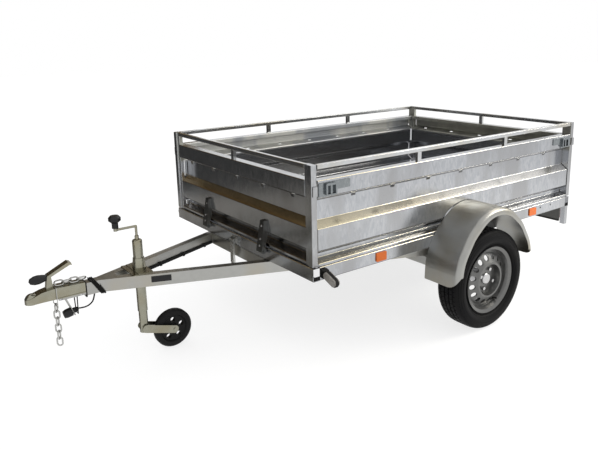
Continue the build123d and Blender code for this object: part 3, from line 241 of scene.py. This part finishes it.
TYRE = surface("tyre_rubber", (0.006, 0.006, 0.0065), (0.011, 0.011, 0.012), (0.48, 0.64), scale=30,
               bump=0.10, bump_scale=220, stain=(0.012, 0.0115, 0.011), stain_scale=7.0, ior=1.19)
PLY = surface("film_plywood", (0.022, 0.019, 0.017), (0.038, 0.033, 0.029), (0.26, 0.40), scale=14,
              bump=0.12, bump_scale=260, stretch=(0.3, 3, 3), ior=1.4)
AMBER = surface("amber_reflector", (0.70, 0.12, 0.008), (0.88, 0.20, 0.014), (0.08, 0.16), scale=420,
                cells=True, ior=1.4)
CLEAR = surface("clear_lens", (0.14, 0.13, 0.12), (0.36, 0.34, 0.31), (0.08, 0.16), scale=260,
                cells=True, ior=1.45)
RED = surface("red_lens", (0.36, 0.006, 0.006), (0.52, 0.012, 0.010), (0.08, 0.16), scale=320,
              cells=True, ior=1.45)

SURFACES = {
    SHEET: ["side_walls", "sills", "cross_members", "rear_brackets", "tilt_lugs"],
    GATE: ["front_gate_panel", "front_gate_posts", "tailgate_panel", "tailgate_posts"],
    RAIL: ["side_rails", "front_gate_rail", "tailgate_rail"],
    FRAME: ["drawbar_beams", "drawbar_nose", "chassis_cross_beams", "axle_tube", "tilt_forks"],
    DARK: ["hinge_leaves", "front_gate_straps", "tailgate_straps", "lamp_board"],
    FENDER: ["fenders"],
    ZINC: ["coupling", "coupling_lever", "jockey_clamp", "jockey_tube", "jockey_crank", "jockey_leg"],
    LATCH: ["latches"],
    WIRE: ["chain_hoop", "safety_chain", "plug_holder", "tilt_lock"],
    RIM: ["rim_left", "rim_right"],
    HUB: ["hub_left", "hub_right"],
    BLACK_STEEL: ["swing_arms"],
    PLASTIC: ["coupling_grip", "plug", "beam_plate", "tail_lamps", "jockey_knob"],
    RUBBER: ["plug_cable", "cable_turns", "wiring_loom", "marker_arms", "jockey_wheel"],
    TYRE: ["tyre_left", "tyre_right"],
    PLY: ["floor"],
    AMBER: ["side_reflectors"],
    CLEAR: ["marker_lenses"],
    RED: ["tail_lamp_lenses"],
}
for finish, names in SURFACES.items():
    for name in names:
        mesh = nodes[name].data
        mesh.materials.clear()
        mesh.materials.append(finish)


# Camera at the photograph's angle: its place, the directions of its axes, and its lens
EYE = (2613.13, 2830.85, 1540.63)
EYE_RIGHT = (-0.80167, 0.59748, -0.01872)
EYE_UP = (-0.14674, -0.16634, 0.97509)
EYE_BACK = (0.57948, 0.78444, 0.22102)
SENSOR = 36.0
LENS = 37.58
SHIFT = (-0.0183, -0.0750)

cam = bpy.data.cameras.new("camera")
cam.sensor_fit = "HORIZONTAL"
cam.sensor_width = SENSOR
cam.lens = LENS
cam.shift_x, cam.shift_y = SHIFT
cam_ob = bpy.data.objects.new("camera", cam)
cam_ob.matrix_world = Matrix((
    (*EYE_RIGHT, 0),
    (*EYE_UP, 0),
    (*EYE_BACK, 0),
    (*at(*EYE), 1),
)).transposed()
scene.collection.objects.link(cam_ob)
scene.camera = cam_ob
scene.view_settings.view_transform = "Standard"


# Cable and wires

CABLE_RADIUS = 3.5
LOOP_RADIUS = 2.7


def tube(name, finish, radius, facets=3, capped=True):
    """Curve with a round section, to which lines are added."""
    curve = bpy.data.curves.new(name, "CURVE")
    curve.dimensions = "3D"
    curve.bevel_depth = radius / 1000
    curve.bevel_resolution = facets
    curve.use_fill_caps = capped
    curve.materials.append(finish)
    return curve


def add_line(curve, kind, stations):
    line = curve.splines.new(kind)
    line.points.add(len(stations) - 1)
    for point, station in zip(line.points, stations):
        point.co = (*at(*station), 1)
    return line


def on_chassis(curve, replaced):
    """Object of a curve that rides the chassis in place of a node."""
    ob = bpy.data.objects.new(curve.name, curve)
    scene.collection.objects.link(ob)
    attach(ob, "chassis")
    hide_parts(replaced)
    return ob


# Plug cable, from the beam end down to the plug
CABLE_ROUTE = [(1804, 18, 394.5), (1808, 13, 368), (1818, 6, 346), (1846, 0, 330), (1878.70, 0, 334.83)]
cable = tube("plug_lead", RUBBER, CABLE_RADIUS, facets=4)
line = add_line(cable, "NURBS", CABLE_ROUTE)
line.order_u = 3
line.use_endpoint_u = True
line.resolution_u = 12
cable_ob = on_chassis(cable, "plug_cable")

# Spare turns of the cable, wound aslant round the beam ends, and one more upright behind the coupling
TURNS = 3
TURN_STEP = 7.6
TURN_FOOT = 1773
TURN_HEAD = 1815
LAST_TURN = 1842.2
TURN_LOW = 392.2
TURN_HIGH = 459.8
TURN_EASE = 12            # length of a corner's bend along each side
TURN_OUT = 1.6            # a corner's bulge
BEAMS_MEET = 1840         # where the outer faces of the beams would meet
BEAM_SPREAD = 0.40119     # half their spread for each length back from there
NOSE_HALF = 25
TURN_CLEAR = 3.8          # from the metal to the middle of the cable


def turn_side(x):
    """Distance of a turn's line from the middle, beside the beams or the nose."""
    return max(BEAM_SPREAD * (BEAMS_MEET - x), NOSE_HALF) + TURN_CLEAR


def turn_route(foot, head):
    """Stations round one turn, three at each corner."""
    foot_y = turn_side(foot)
    head_y = turn_side(head)
    corners = [Vector((foot, foot_y, TURN_LOW)), Vector((head, head_y, TURN_HIGH)),
               Vector((head, -head_y, TURN_HIGH)), Vector((foot, -foot_y, TURN_LOW))]
    route = []
    for k, corner in enumerate(corners):
        before = (corners[k - 1] - corner).normalized()
        after = (corners[(k + 1) % 4] - corner).normalized()
        out = -(before + after).normalized()
        route += [corner + before * TURN_EASE, corner + out * TURN_OUT, corner + after * TURN_EASE]
    return route


winding = tube("cable_winding", RUBBER, CABLE_RADIUS, capped=False)
slanted = [(TURN_FOOT - TURN_STEP * i, TURN_HEAD - TURN_STEP * i) for i in range(TURNS)]
for foot, head in slanted + [(LAST_TURN, LAST_TURN)]:
    line = add_line(winding, "NURBS", turn_route(foot, head))
    line.order_u = 3
    line.use_cyclic_u = True
    line.resolution_u = 6
on_chassis(winding, "cable_turns")

# Wire loops that hold the plug, by their upper and lower corners: the front one bright, the rear one sleeved
PLUG_LOOPS = (
    ("front", WIRE, (1936, 27, 407), (1900, 16.5, 313.84)),
    ("rear", RUBBER, (1886, 27, 407), (1886, 16.5, 316.75)),
)
for label, finish, top, bottom in PLUG_LOOPS:
    loop = tube(f"plug_loop_{label}", finish, LOOP_RADIUS)
    far_corners = [(x, -y, z) for x, y, z in (bottom, top)]
    add_line(loop, "POLY", [top, bottom, *far_corners])
    on_chassis(loop, "plug_holder")


# Meshes

# Fasteners: a nut on its washer, and a rivet's dome in shares of its radius and head
WASHER_SPREAD = 1.25      # washer's radius for each length of the nut's
WASHER_THICK = 1.6
NUT_SINK = 0.2            # into the washer
NUT_CHAMFER = 1.0
NUT_TOP = 0.82            # radius left at the chamfer's top, as a share
RIVET_SINK = 0.5
RIVET_DOME = ((0.94, 0.5), (0.6, 0.88))
ROUND_SIDES = 24
RIVET_SIDES = 20
VALVE_SIDES = 16


class Shape:
    """Collects vertices and faces of one piece."""

    def __init__(self):
        self.points = []
        self.faces = []

    def ring(self, rows):
        """Skin over rows of points, each closed, and closed from the last row to the first."""
        first = len(self.points)
        width = len(rows[0])
        for row in rows:
            self.points.extend(row)
        for j in range(len(rows)):
            below = first + j * width
            above = first + (j + 1) % len(rows) * width
            for i in range(width):
                n = (i + 1) % width
                self.faces.append((below + i, below + n, above + n, above + i))

    def turned(self, profile, place, axis, sides):
        """Solid of revolution from (radius, distance along axis) points that start and end on the axis."""
        along = Vector(axis).normalized()
        side = along.orthogonal().normalized()
        cross = along.cross(side)
        first = len(self.points)
        self.points.append(place + along * (profile[0][1] / 1000))
        for radius, distance in profile[1:-1]:
            for k in range(sides):
                angle = math.tau * k / sides
                spoke = side * math.cos(angle) + cross * math.sin(angle)
                self.points.append(place + along * (distance / 1000) + spoke * (radius / 1000))
        self.points.append(place + along * (profile[-1][1] / 1000))
        last = len(self.points) - 1
        rings = len(profile) - 2
        for k in range(sides):
            n = (k + 1) % sides
            self.faces.append((first, first + 1 + n, first + 1 + k))
            for j in range(rings - 1):
                low = first + 1 + j * sides
                self.faces.append((low + k, low + n, low + sides + n, low + sides + k))
            top = first + 1 + (rings - 1) * sides
            self.faces.append((top + k, top + n, last))

    def nut(self, place, axis, radius, height):
        """Hexagon nut on a washer; its radius reaches the corners."""
        washer = radius * WASHER_SPREAD
        foot = WASHER_THICK - NUT_SINK
        top = WASHER_THICK + height
        disc = [(0, 0), (washer, 0), (washer, WASHER_THICK), (0, WASHER_THICK)]
        self.turned(disc, place, axis, ROUND_SIDES)
        hexagon = [(0, foot), (radius, foot), (radius, top - NUT_CHAMFER), (radius * NUT_TOP, top), (0, top)]
        self.turned(hexagon, place, axis, 6)

    def rivet(self, place, axis, radius, head):
        """Domed head."""
        dome = [(radius * across, head * up) for across, up in RIVET_DOME]
        self.turned([(0, -RIVET_SINK), (radius, -RIVET_SINK), *dome, (0, head)], place, axis, RIVET_SIDES)

    def piece(self, name, finish, body, sharp=35, replaced=()):
        """Object of the shape that rides a body, with edges sharp from an angle in degrees."""
        mesh = bpy.data.meshes.new(name)
        mesh.from_pydata([tuple(p) for p in self.points], [], self.faces)
        mesh.validate()
        skin = bmesh.new()
        skin.from_mesh(mesh)
        bmesh.ops.recalc_face_normals(skin, faces=skin.faces)
        skin.to_mesh(mesh)
        skin.free()
        mesh.materials.append(finish)
        mesh.shade_smooth()
        mesh.set_sharp_from_angle(angle=math.radians(sharp))
        ob = bpy.data.objects.new(name, mesh)
        scene.collection.objects.link(ob)
        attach(ob, body)
        if replaced:
            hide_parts(*replaced)


# Tyres: side walls with shallow rings, four grooves round the tread and sipes across its blocks.
# TYRE_WALL holds (radius, distance from the tyre's middle), WALL_RINGS (radius, depth)
TYRE_WALL = [(170, 57), (187.4, 57), (203, 70.5), (219.8, 77.4), (238, 76), (254, 70.5), (262, 65.2),
             (267.5, 58.5), (270, 52)]
TYRE_HALF = 77.4
WALL_STEPS = 5
WALL_RINGS = [(194, 1.6), (205, 1.2), (233, 1.4), (246, 1.6), (258, 1.2)]
RING_TOP_HALF = 1.7
RING_FOOT_HALF = 1.0
GROOVES = [13, 38]
GROOVE_HALF = 3.2
GROOVE_EDGE = 0.7         # from a groove's wall to the next ring of points
GROOVE_DEPTH = 6.5
MIDDLE_RIB = 4.5          # ring of points on the middle rib
RIB_MIDDLE = 12           # from the inner groove to the ring of points before the outer one
SHOULDER = 47
CROWN_FROM = 30           # the tread is flat to here, and then falls off
CROWN_RUN = 22
CROWN_DROP = 2.0
BLOCKS = 62
STEPS = 6
HALF_STEPS = STEPS // 2
SIPE_DEPTH = 2.6
SHOULDER_SIPE_DEPTH = 4.5
LEAN = math.radians(2.2)  # turn of the tread's middle against its shoulders, fading out at LEAN_WIDTH
LEAN_WIDTH = 60
LEAN_FROM = 255


def wall_curve():
    """Side wall from the bead to the shoulder, a smooth curve through the profile's points with its rings."""
    points = [Vector(p) for p in TYRE_WALL]
    curve = [points[0], points[1]]
    for i in range(1, len(points) - 1):
        before, a, b = points[i - 1], points[i], points[i + 1]
        after = points[min(i + 2, len(points) - 1)]
        for k in range(1, WALL_STEPS + 1):
            s = k / WALL_STEPS
            p = a * 2 + (b - before) * s + (before * 2 - a * 5 + b * 4 - after) * s * s
            p += (a * 3 - before - b * 3 + after) * s ** 3
            curve.append(p / 2)
    shaped = []
    for (r0, y0), (r1, y1) in zip(curve, curve[1:]):
        shaped.append((r0, min(y0, TYRE_HALF)))
        for radius, depth in WALL_RINGS:
            for step, dip in ((-RING_TOP_HALF, 0), (-RING_FOOT_HALF, depth),
                              (RING_FOOT_HALF, depth), (RING_TOP_HALF, 0)):
                r = radius + step
                if r0 < r <= r1:
                    shaped.append((r, min(y0 + (y1 - y0) * (r - r0) / (r1 - r0), TYRE_HALF) - dip))
    shaped.append(tuple(curve[-1]))
    return shaped


def tread_line():
    """Distances from the middle where the tread's rings lie, close together at the groove walls."""
    marks = [0, MIDDLE_RIB]
    for groove, beyond in zip(GROOVES, (GROOVES[0] + RIB_MIDDLE, SHOULDER)):
        inner = groove - GROOVE_HALF
        outer = groove + GROOVE_HALF
        marks += [inner - GROOVE_EDGE, inner, groove, outer, outer + GROOVE_EDGE, beyond]
    return marks


def tread_radius(y, step, block):
    """Tread surface at y and a step of a block: crown, grooves and sipes."""
    off = abs(y)
    crown = WHEEL_RADIUS - CROWN_DROP * max(0, (off - CROWN_FROM) / CROWN_RUN) ** 2
    if any(abs(off - groove) <= GROOVE_HALF for groove in GROOVES):
        return crown - GROOVE_DEPTH
    if off > GROOVES[1]:
        return crown - (SHOULDER_SIPE_DEPTH if step == 0 else 0)
    sipe = HALF_STEPS if off > GROOVES[0] or block % 2 == 0 else 0
    return crown - (SIPE_DEPTH if step == sipe else 0)


def tyre(side, sign):
    shape = Shape()
    wall = wall_curve()
    tread = tread_line()
    rows = []
    for k in range(BLOCKS * STEPS):
        block, step = divmod(k, STEPS)
        far_step = (step + HALF_STEPS) % STEPS
        angle = math.tau * k / (BLOCKS * STEPS)
        section = [(r, -y) for r, y in wall]
        section += [(tread_radius(-y, step, block), -y) for y in tread[::-1]]
        section += [(tread_radius(y, far_step, block), y) for y in tread[1:]]
        section += wall[::-1]
        row = []
        for r, y in section:
            lean = LEAN * max(0, 1 - abs(y) / LEAN_WIDTH) if r > LEAN_FROM else 0
            a = angle + (lean if y > 0 else -lean)
            row.append(at(r * math.sin(a), sign * WHEEL_Y + y, WHEEL_RADIUS + r * math.cos(a)))
        rows.append(row)
    shape.ring(rows)
    shape.piece(f"tyre_{side}_tread", TYRE, f"wheel_{side}", sharp=30, replaced=[f"tyre_{side}"])


# Tyre valve: its place, the X and Z of its axis, and its profile of (radius, distance along the axis)
VALVE_X = -74
VALVE_Y = 856
VALVE_Z = 142
VALVE_LEAN = (0.12, 0.2)
VALVE = [(0, -14), (6, -14), (5, -2), (3.6, 0), (3.6, 14), (4.4, 15), (4.4, 26), (3, 28), (0, 28)]


def valve(side, sign):
    shape = Shape()
    axis = (VALVE_LEAN[0], sign, VALVE_LEAN[1])
    shape.turned(VALVE, at(VALVE_X, sign * VALVE_Y, VALVE_Z), axis, VALVE_SIDES)
    shape.piece(f"valve_{side}", RUBBER, f"wheel_{side}")


for side, sign in SIDES:
    tyre(side, sign)
for side, sign in SIDES:
    valve(side, sign)

# Safety chain of round links: hanging from the hoop, and lying back along the coupling
LINK_WIRE = 3.5
LINK_HALF = 12.5
LINK_RUN = 8
LINK_STEP = 33.2
BEND_STEPS = 10
WIRE_SIDES = 10
HOOP_X = 1976
HANGING_LINKS = 6
HANGING_TOP = 363.8       # middle of the first link
HANGING_TURN = 55
LYING_LINKS = 4
LYING_BACK = 24
LYING_RISE = 12.64        # from the channel to the middle of a link that is rolled by LYING_TURN
LYING_TURN = 45
CHANNEL_FRONT = 1978      # the coupling channel's top at its front end, and its fall to the rear
CHANNEL_TOP = 468
CHANNEL_FALL = 4 / 132


def link_rows():
    """Round wire round a link that stands along Z, face-on along Y."""
    rows = []
    for end in (1, -1):
        for k in range(BEND_STEPS + 1):
            bend = math.pi * k / BEND_STEPS
            row = []
            for n in range(WIRE_SIDES):
                a = math.tau * n / WIRE_SIDES
                reach = end * (LINK_HALF + LINK_WIRE * math.cos(a))
                row.append(Vector((math.cos(bend) * reach, LINK_WIRE * math.sin(a),
                                   math.sin(bend) * reach + end * LINK_RUN)) / 1000)
            rows.append(row)
    return rows


def add_link(shape, place, turn):
    move = Matrix.Translation(place) @ turn
    shape.ring([[move @ p for p in row] for row in link_rows()])


def rotation(degrees, axis):
    return Matrix.Rotation(math.radians(degrees), 4, axis)


chain = Shape()
for i in range(HANGING_LINKS):
    add_link(chain, at(HOOP_X, 0, HANGING_TOP - LINK_STEP * i), rotation(HANGING_TURN + 90 * (i % 2), "Z"))
for i in range(LYING_LINKS):
    x = HOOP_X - LYING_BACK - LINK_STEP * i
    z = CHANNEL_TOP - CHANNEL_FALL * (CHANNEL_FRONT - x) + LYING_RISE
    add_link(chain, at(x, 0, z), rotation(LYING_TURN + 90 * (i % 2), "X") @ rotation(90, "Y"))
chain.piece("safety_chain_links", WIRE, "chassis", sharp=60, replaced=["safety_chain"])

# Nuts below the coupling channel
NUT_X = (1866, 1960)
NUT_Y = 28
NUT_Z = 416
NUT_RADIUS = 8
NUT_HEIGHT = 8
nuts = Shape()
for x in NUT_X:
    for y in (-NUT_Y, NUT_Y):
        nuts.nut(at(x, y, NUT_Z), (0, 0, -1), NUT_RADIUS, NUT_HEIGHT)
nuts.piece("chassis_bolts", HUB, "chassis")

# Rivets up the hinge straps of the gates, which lean back over their height
GATES = (("front_gate", 1062, 1), ("tailgate", -1050, -1))
STRAP_Y = 290.5
STRAP_FOOT = 510
STRAP_LEAN = 24 / 155
RIVET_RISES = (28, 62, 128)
RIVET_RADIUS = 6
RIVET_HEAD = 3
for gate, face, out in GATES:
    rivets = Shape()
    for y in (-STRAP_Y, STRAP_Y):
        for rise in RIVET_RISES:
            x = face - out * STRAP_LEAN * rise
            rivets.rivet(at(x, y, STRAP_FOOT + rise), (out, 0, STRAP_LEAN), RIVET_RADIUS, RIVET_HEAD)
    rivets.piece(f"{gate}_rivets", HUB, gate)


# Studio: white surroundings, a pale floor, and coloured cards that only show as reflections in the metal

FLOOR_SIZE = (60, 60)
FLOOR_TONE = (0.30, 0.30, 0.30)
FLOOR_GLOW = 0.76
# Name, place, direction it faces, size and colour
CARDS = (
    ("front_low_card", (2.3, -2.3, 0.75), (-0.6, 0.77, 0), (6.0, 1.5), (0.09, 0.09, 0.09)),
    ("front_high_card", (2.3, -2.3, 2.6), (-0.6, 0.77, 0), (6.0, 2.2), (0.14, 0.10, 0.05)),
    ("right_card", (1.2, -3.4, 2.8), (0, 1, 0), (4.4, 3.2), (0.25, 0.20, 0.13)),
    ("front_mat", (2.4, -1.6, 0.004), (0, 0, 1), (3.4, 2.4), (0.36, 0.34, 0.31)),
    ("near_mat", (1.15, -1.05, 0.006), (0, 0, 1), (1.3, 1.8), (0.24, 0.23, 0.21)),
)
# Name, place, point it shines at, size, power and colour
SOFTBOXES = (
    ("rear_box", (-2.9, 1.1, 3.5), (-0.3, 0.7, 0.7), (3.0, 1.6), 34, (1.0, 0.93, 0.80)),
    ("floor_box", (-2.3, 1.75, 1.6), (-2.3, 1.75, 0), (2.4, 0.5), 38, (1.0, 0.97, 0.88)),
)


def matt(name, colour, glow=0.0):
    """Matt colour; a glow lifts it in the picture and in what the metal mirrors, but lights nothing else."""
    g = Graph(name)
    shader = g.node("ShaderNodeBsdfDiffuse", Color=colour).outputs["BSDF"]
    if glow:
        path = g.node("ShaderNodeLightPath")
        shown = path.outputs["Is Camera Ray"]
        for ray in ("Is Glossy Ray", "Is Transmission Ray"):
            shown = g.number("MAXIMUM", shown, path.outputs[ray])
        light = g.node("ShaderNodeEmission", Strength=g.number("MULTIPLY", shown, glow))
        both = g.tree.nodes.new("ShaderNodeAddShader")
        g.feed(both.inputs[0], shader)
        g.feed(both.inputs[1], light.outputs["Emission"])
        shader = both.outputs["Shader"]
    g.feed(g.out.inputs["Surface"], shader)
    return g.material


def plane(place, facing, size, finish):
    """Sheet of the studio, named after its finish."""
    bpy.ops.mesh.primitive_plane_add(size=1, location=place)
    ob = bpy.context.object
    ob.name = finish.name
    ob.scale = (*size, 1)
    ob.rotation_euler = Vector(facing).to_track_quat("Z", "Y").to_euler()
    ob.data.materials.append(finish)
    return ob


def card(name, place, facing, size, colour):
    """Card that the bright metal mirrors; it neither shows nor shades."""
    ob = plane(place, facing, size, matt(name, colour))
    ob.visible_camera = False
    ob.visible_diffuse = False
    ob.visible_shadow = False


def softbox(name, place, target, size, power, tone):
    lamp = bpy.data.lights.new(name, "AREA")
    lamp.shape = "RECTANGLE"
    lamp.size, lamp.size_y = size
    lamp.energy = power
    lamp.color = tone
    ob = bpy.data.objects.new(name, lamp)
    ob.location = place
    ob.rotation_euler = (Vector(target) - Vector(place)).to_track_quat("-Z", "Y").to_euler()
    ob.visible_camera = False
    scene.collection.objects.link(ob)


def studio():
    world = bpy.data.worlds.new("studio")
    scene.world = world
    world.use_nodes = True
    sky = world.node_tree.nodes["Background"]
    sky.inputs["Color"].default_value = (1, 1, 1, 1)
    sky.inputs["Strength"].default_value = 1.0
    plane((0, 0, 0), (0, 0, 1), FLOOR_SIZE, matt("studio_floor", FLOOR_TONE, FLOOR_GLOW))
    for values in CARDS:
        card(*values)
    for values in SOFTBOXES:
        softbox(*values)


studio()
